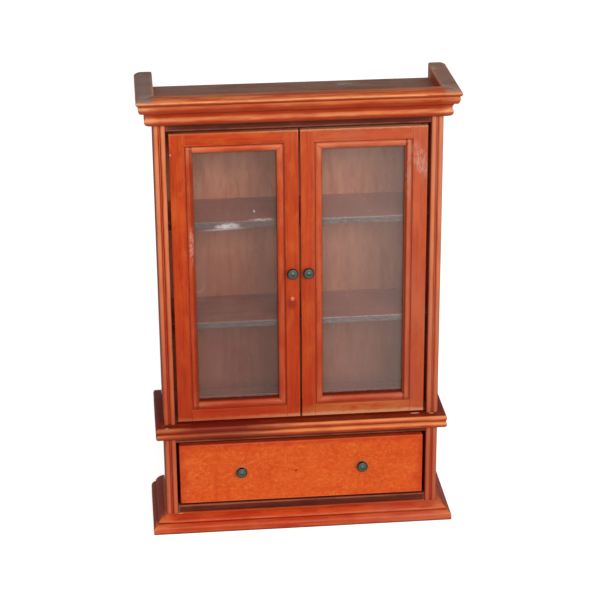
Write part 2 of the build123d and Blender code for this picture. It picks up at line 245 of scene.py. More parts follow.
def finish_wood(piece, node, finish, grain, eased=EASED, framed=True, cuts=8.0, wave=0.07, rub=1.0,
                pool_reach=POOL_REACH):
    """Ease the corners, make the run a little uneven, mark the corners and give the finish.

    A framed piece gets a narrow border on each face. The piece is cut across every few millimetres
    so that it can bend: cuts is that spacing and wave the depth of the unevenness, in millimetres.
    """
    lines = corner_lines(piece)
    size = Vector([max(c[i] for c in piece.bound_box) - min(c[i] for c in piece.bound_box) for i in range(3)])
    thin = min(size)
    open_shape(piece, "FACE")
    if framed:
        bpy.ops.mesh.select_all(action="SELECT")
        bpy.ops.mesh.inset(thickness=min(FRAME_WIDTH, FRAME_SHARE * thin), use_individual=True)
        pick(piece, "EDGE", lambda edge: edge.calc_face_angle(0.0) > SHARP)
    else:
        pick(piece, "EDGE", lambda edge: any(len(face.verts) > END_CORNERS for face in edge.link_faces))
    bpy.ops.mesh.bevel(offset=min(eased, 0.12 * thin), segments=2, profile=0.5, affect="EDGES",
                       clamp_overlap=True)
    axis = "XYZ".index(grain)
    facing = Vector([float(i == axis) for i in range(3)])
    low = min(c[axis] for c in piece.bound_box)
    count = int(size[axis] / (cuts * MM))
    for k in range(1, count):
        bpy.ops.mesh.select_all(action="SELECT")
        bpy.ops.mesh.bisect(plane_co=facing * (low + size[axis] * k / count), plane_no=facing)
    close_shape()
    planing = piece.modifiers.new("planing", "DISPLACE")
    planing.texture = uneven
    planing.texture_coords = "LOCAL"
    planing.mid_level = 1.0
    planing.strength = wave * MM
    only(piece)
    bpy.ops.object.modifier_apply(modifier=planing.name)
    mark_corners(piece, lines, rub, pool_reach)
    bpy.ops.object.shade_smooth_by_angle(angle=SMOOTH)
    place_piece(piece, node, finish[grain])


def place_piece(piece, node, material):
    """Hang the piece on its node's body in place of the node."""
    piece.data.materials.clear()
    piece.data.materials.append(material)
    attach(piece, BODY_OF[node])
    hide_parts(node)


# ---------------------------------------------------------------- shader sums
class Wire:
    """One output socket of a material. Sums on it add Math nodes, and node adds any other."""

    def __init__(self, tree, socket=None):
        self.tree = tree
        self.socket = socket

    def node(self, kind, settings=None, sockets=None, out=0):
        made = self.tree.nodes.new(kind)
        for key, value in (settings or {}).items():
            if key == "stops":
                ramp = made.color_ramp
                while len(ramp.elements) < len(value):
                    ramp.elements.new(0.5)
                for stop, (at, colour) in zip(ramp.elements, value):
                    stop.position = at
                    stop.color = (*colour, 1)
            else:
                setattr(made, key, value)
        for key, value in (sockets or {}).items():
            if isinstance(value, Wire):
                self.tree.links.new(value.socket, made.inputs[key])
            else:
                made.inputs[key].default_value = value
        return Wire(self.tree, made.outputs[out])

    def sum(self, operation, *values):
        return self.node("ShaderNodeMath", {"operation": operation}, dict(enumerate(values)))

    def __add__(self, other):
        return self.sum("ADD", self, other)

    def __mul__(self, other):
        return self.sum("MULTIPLY", self, other)

    def __sub__(self, other):
        return self.sum("SUBTRACT", self, other)

    def __rsub__(self, other):
        return self.sum("SUBTRACT", other, self)

    __radd__ = __add__
    __rmul__ = __mul__

    def larger(self, other):
        return self.sum("MAXIMUM", self, other)

    def size(self):
        """This value without its sign."""
        return self.sum("ABSOLUTE", self)

    def above(self, low, high):
        """0 below low, 1 above high, and smooth between."""
        return self.node("ShaderNodeMapRange", {"interpolation_type": "SMOOTHSTEP"},
                         {0: self, 1: low, 2: high})

    def scaled(self, by):
        """This vector, multiplied axis by axis."""
        return self.node("ShaderNodeVectorMath", {"operation": "MULTIPLY"}, {0: self, 1: by})

    def moved(self, by):
        """This vector, shifted axis by axis."""
        return self.node("ShaderNodeVectorMath", {"operation": "ADD"}, {0: self, 1: by})

    def noise(self, detail=2.0, roughness=0.5, distortion=0.0):
        """Soft noise over this vector, about 0.5 in the middle."""
        return self.node("ShaderNodeTexNoise", None, {"Vector": self, "Scale": 1.0, "Detail": detail,
                                                      "Roughness": roughness, "Distortion": distortion})

    def blend(self, under, over):
        """Two colours, mixed by this amount."""
        under, over = ((*c, 1) if isinstance(c, tuple) else c for c in (under, over))
        return self.node("ShaderNodeMix", {"data_type": "RGBA"}, {0: self, 6: under, 7: over}, out=2)


def new_material(name):
    """A material, a wire to build on, its shader's inputs and its object place in millimetres."""
    material = bpy.data.materials.new(name)
    material.use_nodes = True
    tree = material.node_tree
    wire = Wire(tree)
    place = wire.node("ShaderNodeTexCoord", out="Object").scaled((1000, 1000, 1000))
    return material, wire, tree.nodes["Principled BSDF"].inputs, place


def spot(place, centre, size, turn=0.0):
    """1 in the middle of a tilted oval patch in the x-z plane, falling to 0 at its rim."""
    local = place.moved(tuple(-c for c in centre))
    local = local.node("ShaderNodeVectorRotate", {"rotation_type": "Y_AXIS"},
                       {"Vector": local, "Angle": turn})
    local = local.scaled(tuple(1 / s for s in size))
    return 1 - local.node("ShaderNodeVectorMath", {"operation": "LENGTH"}, {0: local}, out=1)


def part_of(place, axis):
    """One coordinate of a vector."""
    return place.node("ShaderNodeSeparateXYZ", None, {0: place}, out=axis)


def normal_part(wire, axis):
    """How squarely the surface faces along an axis, from -1 to 1."""
    return part_of(wire.node("ShaderNodeTexCoord", out="Normal"), axis)


def hook(wire, socket, value):
    """Join a value to one input of the material's shader."""
    wire.tree.links.new(value.socket, socket)


LOG_SPREAD = 300                # how far apart in the log two pieces can lie, in millimetres
WAX_TINT = (1.0, 0.66, 0.46, 1.0)
# The grey laid on up-facing faces: partly dust, partly a painted sheen.
DUST_AND_SHEEN_GREY = (0.31, 0.215, 0.18)


def stained_wood(name, grain, deep, middle, light, rub, pool, dust=0.0, rough=0.38, figure=0.0, fine=1.0,
                 streaky=1.0, marks=()):
    """Stained and lacquered wood with its grain along one axis.

    The first three colours are the stain, rub shows on outer corners as wear and as a painted highlight, and
    pool in corners and pores. The dust amount lays a grey wash on up-facing faces, partly dust and partly a
    painted sheen.
    Each mark gives an amount and a tint, laid over the wood in turn.
    """
    material, wire, shader, place = new_material(f"{name} {grain}")
    plank = wire.node("ShaderNodeAttribute", {"attribute_name": "plank"}, out="Vector")
    log = place.node("ShaderNodeVectorMath", {"operation": "MULTIPLY_ADD"},
                     {0: plank, 1: (LOG_SPREAD,) * 3, 2: place})
    axis = "XYZ".index(grain)

    def along(slow, fast):
        return log.scaled(tuple(slow if i == axis else fast for i in range(3)))

    streaks = along(0.035, 0.75).noise(5.0, 0.62, 0.4)
    fibres = along(0.2, 4.2).noise(3.0, 0.6)
    mottle = along(0.09, 0.22).noise(3.0, 0.55, 0.3)
    pores = along(0.55, 5.5).noise(2.0, 0.5).above(0.63, 0.70)

    colour = ((1 - streaks).above(0.38, 0.66) * streaky).blend(middle, deep)
    colour = (mottle.above(0.42, 0.72) * 0.75 * streaky).blend(colour, light)
    colour = (fibres.above(0.35, 0.75) * 0.28 * fine).blend(colour, light)
    if figure:
        flake = log.scaled((0.6, 1, 0.75)).noise(4.0, 0.75, 1.0)
        colour = (flake.above(0.50, 0.66) * figure).blend(colour, light)
        colour = ((1 - flake).above(0.52, 0.68) * figure * 0.8).blend(colour, deep)
    colour = (pores * 0.35 * fine).blend(colour, pool)

    end_grain = normal_part(wire, axis).size().above(0.75, 0.95)
    colour = (end_grain * 0.55).blend(colour, pool)

    # Outer corners are lightened in the rub colour: partly wear, partly a painted highlight.
    edge_wear_and_highlight = wire.node("ShaderNodeAttribute", {"attribute_name": "rubbed"}, out="Fac")
    stained_up = wire.node("ShaderNodeAttribute", {"attribute_name": "pooled"}, out="Fac")
    patchy = along(0.07, 0.35).noise(3.0, 0.6)
    broken = along(0.6, 1.6).noise(3.0, 0.7)
    edge_wear_and_highlight = (edge_wear_and_highlight * (patchy.above(0.32, 0.68) * 0.7 + broken * 0.7 + 0.25)).above(0.10, 0.95)
    colour = (edge_wear_and_highlight * 0.85).blend(colour, rub)
    colour = (stained_up.above(0.0, 0.8) * (broken * 0.5 + 0.6)).blend(colour, pool)

    # Up-facing faces take a grey wash, partly dust and partly a painted sheen of the pale room seen at a
    # grazing angle.
    dust_and_sheen_faces = normal_part(wire, 2).above(0.6, 0.97)
    lint = log.scaled((0.3, 0.3, 0.3)).noise(4.0, 0.65)
    dust_and_sheen = dust_and_sheen_faces * (lint.above(0.2, 0.75) * 0.6 + 0.4) * dust
    colour = dust_and_sheen.blend(colour, DUST_AND_SHEEN_GREY)
    for mark in marks:
        amount, tint = mark(place, log)
        colour = amount.blend(colour, tint)

    hook(wire, shader["Base Color"], colour)
    hook(wire, shader["Roughness"], mottle * 0.14 + pores * 0.2 + dust_and_sheen * 0.35 + stained_up * 0.15 + rough)
    shader["Specular IOR Level"].default_value = 0.32
    shader["Specular Tint"].default_value = WAX_TINT
    shader["Coat Weight"].default_value = 0.04
    shader["Coat Roughness"].default_value = 0.3
    relief = streaks * 0.5 + fibres * 0.35 - pores * 0.6 + mottle * 0.6
    hook(wire, shader["Normal"], relief.node("ShaderNodeBump", None, {
        "Height": relief, "Strength": 0.35, "Distance": 0.00006}))
    return material


def finish(slot, name, grains, **tones):
    """The same stained wood with its grain along each axis named, for one slot."""
    return {"slot": slot, **{grain: stained_wood(name, grain, **tones) for grain in grains}}


def scuffs(place, log):
    """Pale rubs on the top of the right door's hinge stile and down its bead."""
    scratch = log.scaled((1.3, 1, 0.4)).noise(4.0, 0.7, 0.8)
    patch = spot(place, (44.6, FACE, 147.0), (3.6, 6, 9.5), 0.35).above(0.0, 0.6)
    strip = spot(place, (40.4, FACE, 141), (1.5, 6, 13)).above(0.0, 0.8)
    return patch.larger(strip * 0.7) * scratch.above(0.40, 0.62) * 0.75, (0.66, 0.33, 0.25)


def chafed_bead(place, log):
    """The left door's hinge bead is chafed to pale wood at elbow height."""
    bare = log.scaled((1.5, 1, 0.7)).noise(3.0, 0.7)
    strip = spot(place, (-40.2, -12.5, 116.5), (1.3, 6, 9.5)).above(0.0, 0.6)
    return strip * bare.above(0.35, 0.70) * 0.7, (0.80, 0.38, 0.28)


def bruise(place, log):
    """A darker dab under the filled pin hole on the left meeting stile."""
    return spot(place, (-3.2, FACE, 92.2), (2.6, 5, 3.2)).above(0.0, 0.7) * 0.7, (0.26, 0.02, 0.010)


def painted_sheen(place, log):
    """A milky painted sheen on the lacquer, towards the top right-hand side."""
    cloud = place.scaled((0.05, 0.05, 0.02)).noise(3.0)
    spread = (part_of(place, 0) + part_of(place, 2) * 0.25).above(10, 85)
    high = part_of(place, 2).above(30, 70) * 0.75 + 0.25
    return spread * (cloud.above(0.25, 0.75) * 0.4 + 0.2) * high, (0.60, 0.20, 0.11)


def foot_shade(place, log):
    """Darker towards the foot of the doors."""
    cloud = place.scaled((0.03, 0.03, 0.02)).noise(2.0)
    return (1 - part_of(place, 2).above(50, 135)) * (cloud * 0.5 + 0.3), (0.36, 0.022, 0.007)


def ragged_arris(place, log):
    """The top and bottom edges of the doors are chipped to a light, ragged line, most on the right."""
    ragged = place.scaled((0.5, 0.5, 0.5)).noise(4.0, 0.75)
    height = part_of(place, 2) + ragged * 1.6
    line = height.above(160.2, 160.9).larger(1 - height.above(46.7, 48.0))
    return line * (part_of(place, 0).above(-30, 10) * 0.55 + 0.2), (0.74, 0.32, 0.16)


def pale_rail(place, log):
    """The right-hand door's bottom rail is chafed to a golden brown."""
    cloud = log.scaled((0.15, 1, 0.5)).noise(3.0, 0.6)
    rail = spot(place, (24, FACE, 47.4), (30, 9, 4.5)).above(0.0, 0.5)
    return rail * cloud.above(0.2, 0.6) * 0.85, (0.54, 0.14, 0.034)


def pane_stain_and_shade(place, log):
    """Painted shade on the beads next to the glass and down the right-hand door's hinge bead, and gathered
    stain down the left-hand door's hinge bead.
    """
    inner = part_of(place, 1).above(-11.9, -11.5)
    right = part_of(place, 0)
    left = 0 - right
    right = right.above(39.0, 39.4) * (1 - right.above(39.6, 40.2))
    left = left.above(38.8, 39.3) * (1 - left.above(39.9, 40.6)) * 0.7
    return inner.larger(right.larger(left)) * 0.8, (0.16, 0.010, 0.003)


def waist_stain_and_shade(place, log):
    """Stain left thick on the ledge and reeds of the waist, all but their right-hand end, and painted shade
    on the ledge under the doors.
    """
    edge = place.scaled((0.08, 0.5, 0.5)).noise(3.0)
    left = 1 - (part_of(place, 0) + edge * 24).above(-12, 14)
    high = (part_of(place, 2) + edge * 0.8).above(42.6, 44.6) * 0.35
    right = part_of(place, 0).above(-50, -38) * 0.45 + 0.55
    # The ledge under the doors is painted dark: thick stain, and the painted shade it lies in.
    ledge = part_of(place, 2).above(44.15, 44.45) * (edge.above(0.1, 0.7) * 0.2 + 0.78)
    return ledge.larger(left * right * (high + 0.78)), (0.20, 0.011, 0.003)


def floor_of_case(place, log):
    """Inside the doors the board is paler, brushed across and dusted."""
    brushed = log.scaled((0.1, 1.4, 1)).noise(3.0, 0.6)
    return part_of(place, 1).above(-11.2, -10.4) * 0.9, brushed.above(0.3, 0.7).blend(
        (0.34, 0.10, 0.055), (0.52, 0.19, 0.11))


def shelf_grime_and_end_shade(place, log):
    """The front edges of the shelves are slate grey with grime, with a pale line on the arris, and painted
    shade at their ends.
    """
    front = (0 - normal_part(place, 1)).above(0.5, 0.8)
    flecks = log.scaled((0.5, 1.2, 1.6)).noise(4.0, 0.7).above(0.3, 0.75)
    # Painted shade: the shelf ends, seen past the posts, go near black.
    ends = part_of(place, 0).size().above(43.5, 46)
    paler = part_of(place, 0).above(-6, 6)
    grey = flecks.blend((0.050, 0.050, 0.052), paler.blend((0.105, 0.10, 0.10), (0.20, 0.19, 0.185)))
    return front * 0.92, ends.blend(grey, (0.02, 0.008, 0.006))


def pale_arris_line(place, log):
    """A pale, flecked line on the shelves' front arris, thicker behind the right-hand door."""
    flecks = log.scaled((0.7, 1, 1)).noise(4.0, 0.75).above(0.35, 0.65)
    near = 1 - part_of(place, 1).above(-8.75, -8.35)
    height = part_of(place, 2)
    upper, lower = height.above(124.05, 124.3), height.above(83.95, 84.2) * (1 - height.above(100, 101))
    ends = 1 - part_of(place, 0).size().above(43, 45)
    amount = (part_of(place, 0).above(-6, 12) * 0.75 + 0.2) * (flecks * 0.7 + 0.3)
    return lower.larger(upper) * near * amount * ends, (0.42, 0.38, 0.37)


def paler_shelf_tops(place, log):
    """The shelf tops are paler, the upper one most, and more to the right."""
    high = part_of(place, 2).above(100, 112)
    right = part_of(place, 0).above(-8, 10)
    return high * 0.3 + right * 0.32, (0.62, 0.26, 0.18)


def bay_tones(place, log):
    """The back sheet is redder and darker in the lower bays, greyer and paler in the upper."""
    cloud = place.scaled((0.05, 0.05, 0.03)).noise(3.0, 0.6)
    band = place.scaled((0.16, 0.1, 0.012)).noise(3.0, 0.6)
    low = 1 - (part_of(place, 2) + cloud * 20).above(60, 165)
    right = part_of(place, 0).above(-5, 20) * 0.3
    return low * 0.9 + band.above(0.45, 0.75) * 0.2 - right, (0.20, 0.040, 0.018)


def back_stains(place, log):
    """Soft greyish upright stains in the back sheet."""
    wash = place.scaled((0.09, 0.1, 0.02)).noise(4.0, 0.6, 0.5)
    return wash.above(0.48, 0.72) * 0.25, (0.30, 0.155, 0.12)


def drawer_rim_shade(place, log):
    """Painted shade, red and dark, round the rim of the drawer front."""
    cloud = place.scaled((0.12, 0.1, 0.2)).noise(3.0, 0.6)
    sides = part_of(place, 0).size() + cloud * 5
    top = part_of(place, 2) + cloud * 4
    rim = sides.above(45.5, 51).larger(top.above(33.5, 38))
    return rim * 0.8, (0.52, 0.026, 0.006)


def nail_dot(place, log):
    """A stained-over nail near the middle of the drawer front."""
    return spot(place, (-2.24, FACE, 21.95), (0.7, 5, 0.75)).above(0.0, 0.5) * 0.8, (0.20, 0.012, 0.004)


def birch_scratches(place, log):
    """Pale slanting scratches by the left-hand knob and a curved one near the end."""
    grit = log.scaled((1.2, 1, 1.2)).noise(3.0, 0.7).above(0.3, 0.65)
    slant = spot(place, (-20.6, FACE, 26.1), (10.5, 9, 0.42), 0.43).above(0.0, 0.7)
    second = spot(place, (-26.5, FACE, 22.6), (6.5, 9, 0.5), 0.5).above(0.0, 0.7)
    ring = spot(place, (-36.2, FACE, 26.4), (3.4, 9, 3.6))
    ring = (1 - ring.size() * 9).above(0.0, 0.8) * (1 - part_of(place, 0).above(-37, -34.5))
    return slant.larger(second * 0.7).larger(ring * 0.6) * (grit * 0.5 + 0.05), (0.90, 0.27, 0.08)


def knob_halo(place, log):
    """Finger wear shows pale round the drawer knobs."""
    left, right = (spot(place, (x, FACE, 23.2), (3.4, 9, 3.4)).above(0.0, 0.45) for x in (-23.5, 23.5))
    return left.larger(right) * 0.4, (0.62, 0.17, 0.07)


def contact_shade(place, log):
    """Painted contact shade along the foot of the plinth."""
    grit = place.scaled((0.4, 0.4, 0.4)).noise(3.0, 0.7)
    return (1 - (part_of(place, 2) - grit * 0.8).above(-0.3, 0.7)) * 0.85, (0.10, 0.012, 0.006)


def side_shade(place, log):
    """Painted shade makes the side returns browner than the front, and the left one all over."""
    across = normal_part(place, 0).size().above(0.25, 0.65)
    left = (0 - part_of(place, 0)).above(53.2, 54.0) * part_of(place, 1).above(-17.5, -13)
    return across.larger(left) * 0.8, (0.24, 0.022, 0.010)


def plinth_sheen(place, log):
    """A pinker painted sheen on the plinth, towards the right."""
    cloud = place.scaled((0.06, 0.06, 0.3)).noise(3.0)
    return part_of(place, 0).above(5, 50) * cloud.above(0.2, 0.7) * 0.4, (0.62, 0.19, 0.10)


def shaded_undersides(place, log):
    """Painted shade on the underside of every roll."""
    waver = place.scaled((0.12, 0.12, 0.8)).noise(3.0, 0.6)
    return (1 - (normal_part(place, 2) + waver * 0.6).above(0.02, 0.46)) * 0.75, (0.38, 0.024, 0.006)


def red_streaks(place, log):
    """Broken red lines along the mouldings, where the brush ran."""
    line = place.scaled((0.06, 0.06, 1.5)).noise(4.0, 0.7, 0.4)
    return line.above(0.48, 0.66) * (1 - normal_part(place, 2).above(0.55, 0.8)) * 0.7, (0.42, 0.028, 0.006)


def crest_highlight(place, log):
    """A painted highlight in gold on the upper shoulder of every roll, most on the right."""
    up = normal_part(place, 2)
    patch = place.scaled((0.04, 0.04, 0.4)).noise(3.0, 0.6).above(0.30, 0.62)
    near = part_of(place, 0).above(-50, 5) * 0.5 + 0.5
    return up.above(0.02, 0.35) * (1 - up.above(0.70, 0.93)) * patch * near * 0.5, (0.86, 0.31, 0.095)


def nose_rub(place, log):
    """The top of the cornice is handled clean along its front, between the ears."""
    up = normal_part(place, 2).above(0.45, 0.8)
    streak = place.scaled((0.05, 0.8, 0.9)).noise(4.0, 0.65, 0.3)
    front = 1 - (part_of(place, 1) + streak * 1.5).above(-14.0, -12.9)
    between = 1 - part_of(place, 0).size().above(51.5, 54.0)
    return up * front * between * (streak * 0.4 + 0.68), streak.above(0.42, 0.62).blend(
        (0.54, 0.060, 0.012), (0.74, 0.21, 0.06))


def ear_dust(place, log):
    """Grey dust on the tops of the two ears, thicker on the left."""
    up = normal_part(place, 2).above(0.3, 0.9)
    out = part_of(place, 0).size().above(51.5, 54.0)
    return up * out * (1 - part_of(place, 0).above(0, 1) * 0.6) * 0.55, (0.27, 0.205, 0.185)


def reed_highlight_and_shade(place, log):
    """Painted highlights in peach on the crests of the reeds, and painted shade in red on their flanks."""
    front = 0 - normal_part(place, 1)
    patch = log.scaled((0.5, 0.5, 0.04)).noise(3.0, 0.6).above(0.25, 0.65) * 0.38 + 0.1
    crest, flank = front.above(0.80, 0.97), 1 - front.above(0.45, 0.82)
    return (crest * patch).larger(flank * 0.8), front.above(0.6, 0.9).blend(
        (0.33, 0.016, 0.005), (0.84, 0.29, 0.10))


def birch_clouds(place, log):
    """Soft, redder flames in the birch."""
    flame = place.scaled((0.16, 1, 0.07)).noise(4.0, 0.65, 0.8)
    return flame.above(0.50, 0.72) * 0.5, (0.60, 0.045, 0.007)


def top_scuffs(place, log):
    """Bare scrapes where the top has been set down on its face."""
    grit = log.scaled((0.9, 0.9, 1)).noise(4.0, 0.75).above(0.42, 0.62)
    tray = spot(place, (19.6, 14.7, 169.2), (4.5, 2.6, 2)).above(0.0, 0.6)
    ear = spot(place, (52.7, 12.0, 175.0), (2.6, 3.6, 1.5)).above(0.0, 0.6)
    return tray.larger(ear) * grit * 0.8, (0.55, 0.44, 0.38)


def top_patina(place, log):
    """Brown and faintly green patches in the dusted tops."""
    cloud = log.scaled((0.05, 0.16, 0.16)).noise(4.0, 0.65, 0.6)
    up = normal_part(place, 2).above(0.7, 0.95)
    return up * cloud.above(0.46, 0.66) * 0.5, (0.15, 0.095, 0.05)


door_wood = finish(
    "door_wood", "door mahogany", "XZ",
    deep=(0.42, 0.026, 0.005), middle=(0.60, 0.056, 0.008), light=(0.68, 0.11, 0.016),
    rub=(0.76, 0.20, 0.065), pool=(0.20, 0.012, 0.003),
    marks=(foot_shade, painted_sheen, pale_rail, ragged_arris, scuffs, bruise))
bead_wood = finish(
    "door_wood", "bead mahogany", "XZ",
    deep=(0.42, 0.026, 0.005), middle=(0.58, 0.055, 0.009), light=(0.66, 0.10, 0.017),
    rub=(0.76, 0.19, 0.08), pool=(0.24, 0.014, 0.004),
    marks=(foot_shade, painted_sheen, pane_stain_and_shade, scuffs, chafed_bead))
moulding_wood = finish(
    "moulding_wood", "moulding mahogany", "XY",
    deep=(0.40, 0.03, 0.006), middle=(0.58, 0.075, 0.012), light=(0.68, 0.15, 0.026),
    rub=(0.95, 0.40, 0.16), pool=(0.36, 0.03, 0.008), dust=0.95, fine=1.8,
    marks=(shaded_undersides, red_streaks, crest_highlight, top_patina, nose_rub, ear_dust, top_scuffs))
post_wood = finish(
    "moulding_wood", "post mahogany", "Z",
    deep=(0.44, 0.028, 0.006), middle=(0.58, 0.068, 0.012), light=(0.66, 0.12, 0.024),
    rub=(0.80, 0.25, 0.12), pool=(0.34, 0.020, 0.006), fine=0.6,
    marks=(reed_highlight_and_shade, foot_shade, painted_sheen))
waist_wood = finish(
    "moulding_wood", "waist mahogany", "XY",
    deep=(0.40, 0.024, 0.005), middle=(0.60, 0.07, 0.010), light=(0.72, 0.15, 0.024),
    rub=(0.82, 0.24, 0.08), pool=(0.28, 0.014, 0.003),
    marks=(shaded_undersides, crest_highlight, side_shade, waist_stain_and_shade))
ledge_wood = finish(
    "moulding_wood", "ledge mahogany", "X",
    deep=(0.40, 0.024, 0.005), middle=(0.60, 0.07, 0.010), light=(0.72, 0.15, 0.024),
    rub=(0.70, 0.16, 0.05), pool=(0.24, 0.014, 0.003),
    marks=(waist_stain_and_shade, floor_of_case))
plinth_wood = finish(
    "moulding_wood", "plinth mahogany", "XY",
    deep=(0.40, 0.018, 0.004), middle=(0.57, 0.038, 0.006), light=(0.66, 0.080, 0.012),
    rub=(0.75, 0.16, 0.048), pool=(0.34, 0.018, 0.004),
    marks=(shaded_undersides, red_streaks, plinth_sheen, side_shade, contact_shade))
carcass_wood = finish(
    "carcass_wood", "carcass mahogany", "Z",
    deep=(0.26, 0.03, 0.008), middle=(0.42, 0.055, 0.014), light=(0.50, 0.10, 0.03),
    rub=(0.55, 0.17, 0.06), pool=(0.08, 0.010, 0.004), rough=0.42)
tray_wood = finish(
    "carcass_wood", "tray mahogany", "X",
    deep=(0.24, 0.05, 0.02), middle=(0.34, 0.085, 0.035), light=(0.42, 0.13, 0.06),
    rub=(0.5, 0.2, 0.1), pool=(0.08, 0.015, 0.008), dust=0.75, rough=0.5,
    marks=(top_patina, top_scuffs))
# A very dark stain for the rails, which also stands in for the painted shade they lie in, recessed behind the
# mouldings.
rail_stain_and_shade = finish(
    "carcass_wood", "rail dark stain", "X",
    deep=(0.060, 0.008, 0.005), middle=(0.095, 0.013, 0.008), light=(0.14, 0.024, 0.014),
    rub=(0.34, 0.09, 0.05), pool=(0.05, 0.006, 0.003), rough=0.42)
shelf_wood = finish(
    "carcass_wood", "shelf mahogany", "X",
    deep=(0.20, 0.032, 0.015), middle=(0.30, 0.052, 0.026), light=(0.36, 0.085, 0.045),
    rub=(0.36, 0.14, 0.09), pool=(0.10, 0.02, 0.01), dust=0.15, rough=0.5, fine=0.4,
    marks=(paler_shelf_tops, shelf_grime_and_end_shade, pale_arris_line))
back_wood = finish(
    "carcass_wood", "back sheet", "Z",
    deep=(0.34, 0.085, 0.038), middle=(0.42, 0.12, 0.056), light=(0.50, 0.16, 0.085),
    rub=(0.55, 0.25, 0.14), pool=(0.24, 0.06, 0.03), rough=0.5, fine=0.15,
    marks=(back_stains, bay_tones))
drawer_wood = finish(
    "drawer_front_wood", "drawer front birch", "X",
    deep=(0.58, 0.050, 0.007), middle=(0.74, 0.088, 0.011), light=(0.84, 0.18, 0.028),
    rub=(0.80, 0.16, 0.04), pool=(0.26, 0.02, 0.004), figure=0.85, fine=0.5, streaky=0.3,
    marks=(birch_clouds, knob_halo, birch_scratches, drawer_rim_shade, nail_dot))
box_wood = finish(
    "drawer_box_wood", "drawer box birch", "XY",
    deep=(0.42, 0.27, 0.15), middle=(0.56, 0.40, 0.24), light=(0.66, 0.50, 0.33),
    rub=(0.68, 0.54, 0.38), pool=(0.28, 0.16, 0.08), dust=0.15, rough=0.55)


def acrylic():
    """Clear sheet gone slightly cloudy, with a smear of white glue on the left one."""
    material, wire, shader, place = new_material("cloudy acrylic")
    haze = place.scaled((0.05, 0.05, 0.05)).noise(3.0, 0.6)
    rub = place.scaled((0.5, 1, 0.2)).noise(4.0, 0.65, 0.5)
    smear = spot(place, (-26.8, SHEET, 123.2), (6.0, 9, 1.6), 0.05).above(0.0, 0.55)
    thread = spot(place, (-27.5, SHEET, 122.2), (11.5, 9, 0.45), 0.04).above(0.0, 0.8) * 0.6
    tail = spot(place, (-14.5, SHEET, 125.4), (6.5, 9, 0.55), 0.02).above(0.0, 0.8) * 0.8
    curl = spot(place, (-37.8, SHEET, 100.8), (2.2, 9, 3.2))
    curl = (1 - curl.size() * 8).above(0.0, 0.8) * (1 - part_of(place, 2).above(99.5, 102)) * 0.12
    curd = place.scaled((0.6, 1, 1.3)).noise(3.0, 0.6).above(0.30, 0.62)
    # A dark red band painted along the foot of the sheet: stain at the bead, and the painted shade of the
    # bead.
    foot_stain_and_shade = 1 - (part_of(place, 2) + rub * 0.8).above(54.2, 54.7)
    glue = (smear * curd).larger(tail * curd).larger(thread).larger(curl)
    dot = spot(place, (-16.7, SHEET, 128.8), (0.55, 9, 0.55)).above(0.0, 0.6)
    specks = place.scaled((1.3, 1.3, 1.3)).noise(1.0, 0.5).above(0.76, 0.80)
    tone = glue.blend((0.69, 0.54, 0.49), (0.90, 0.84, 0.84))
    hook(wire, shader["Base Color"], foot_stain_and_shade.blend(tone, (0.13, 0.012, 0.005)))
    milky = part_of(place, 0).above(-8, 25)
    cloud = haze * 0.05 + rub * 0.04 + milky * 0.055
    hook(wire, shader["Alpha"], cloud + specks * 0.3 + glue * 0.42 + dot * 0.4 + foot_stain_and_shade * 0.8 + 0.015)
    hook(wire, shader["Roughness"], rub * 0.15 + glue * 0.4 + 0.12)
    return material


def pewter():
    """Dark cast metal, polished paler on the face, which also carries a painted highlight."""
    material, wire, shader, place = new_material("dark pewter")
    grit = place.scaled((1.5, 1.5, 1.5)).noise(3.0, 0.6)
    # The face is painted paler: polish, and a painted highlight.
    front = (0 - normal_part(wire, 1)).above(0.55, 0.98)
    polish_and_highlight = front * (grit * 0.5 + 0.55)
    hook(wire, shader["Base Color"], polish_and_highlight.blend((0.014, 0.015, 0.014), (0.13, 0.165, 0.15)))
    hook(wire, shader["Roughness"], grit * 0.25 + 0.42)
    shader["Metallic"].default_value = 0.75
    hook(wire, shader["Normal"], grit.node("ShaderNodeBump", None, {
        "Height": grit, "Strength": 0.4, "Distance": 0.00012}))
    return material


def brass():
    """Tarnished wire."""
    material, wire, shader, place = new_material("brass wire")
    tarnish = place.scaled((1.2, 1.2, 0.4)).noise(3.0, 0.6)
    hook(wire, shader["Base Color"], tarnish.above(0.3, 0.7).blend((0.06, 0.03, 0.012), (0.16, 0.09, 0.035)))
    hook(wire, shader["Roughness"], tarnish * 0.3 + 0.25)
    shader["Metallic"].default_value = 1.0
    return material


def dried_glue(name, tint):
    """A hard drop of glue or filler that has taken some stain."""
    material, wire, shader, place = new_material(name)
    curd = place.scaled((2.0, 2.0, 2.0)).noise(3.0, 0.6)
    hook(wire, shader["Base Color"], curd.above(0.3, 0.7).blend(tuple(c * 0.7 for c in tint), tint))
    hook(wire, shader["Roughness"], curd * 0.3 + 0.3)
    return material


acrylic_sheet, pewter_metal, brass_wire = acrylic(), pewter(), brass()
glue_drop = dried_glue("dried glue", (0.66, 0.30, 0.19))
filler = dried_glue("pin hole filler", (0.86, 0.20, 0.08))

# ---------------------------------------------------------------- the case: boards
for node, grain, tone in (("back_panel", "Z", back_wood), ("top_board", "X", tray_wood),
                          ("upper_shelf", "X", shelf_wood), ("lower_shelf", "X", shelf_wood)):
    finish_wood(sawn(node), node, tone, grain)

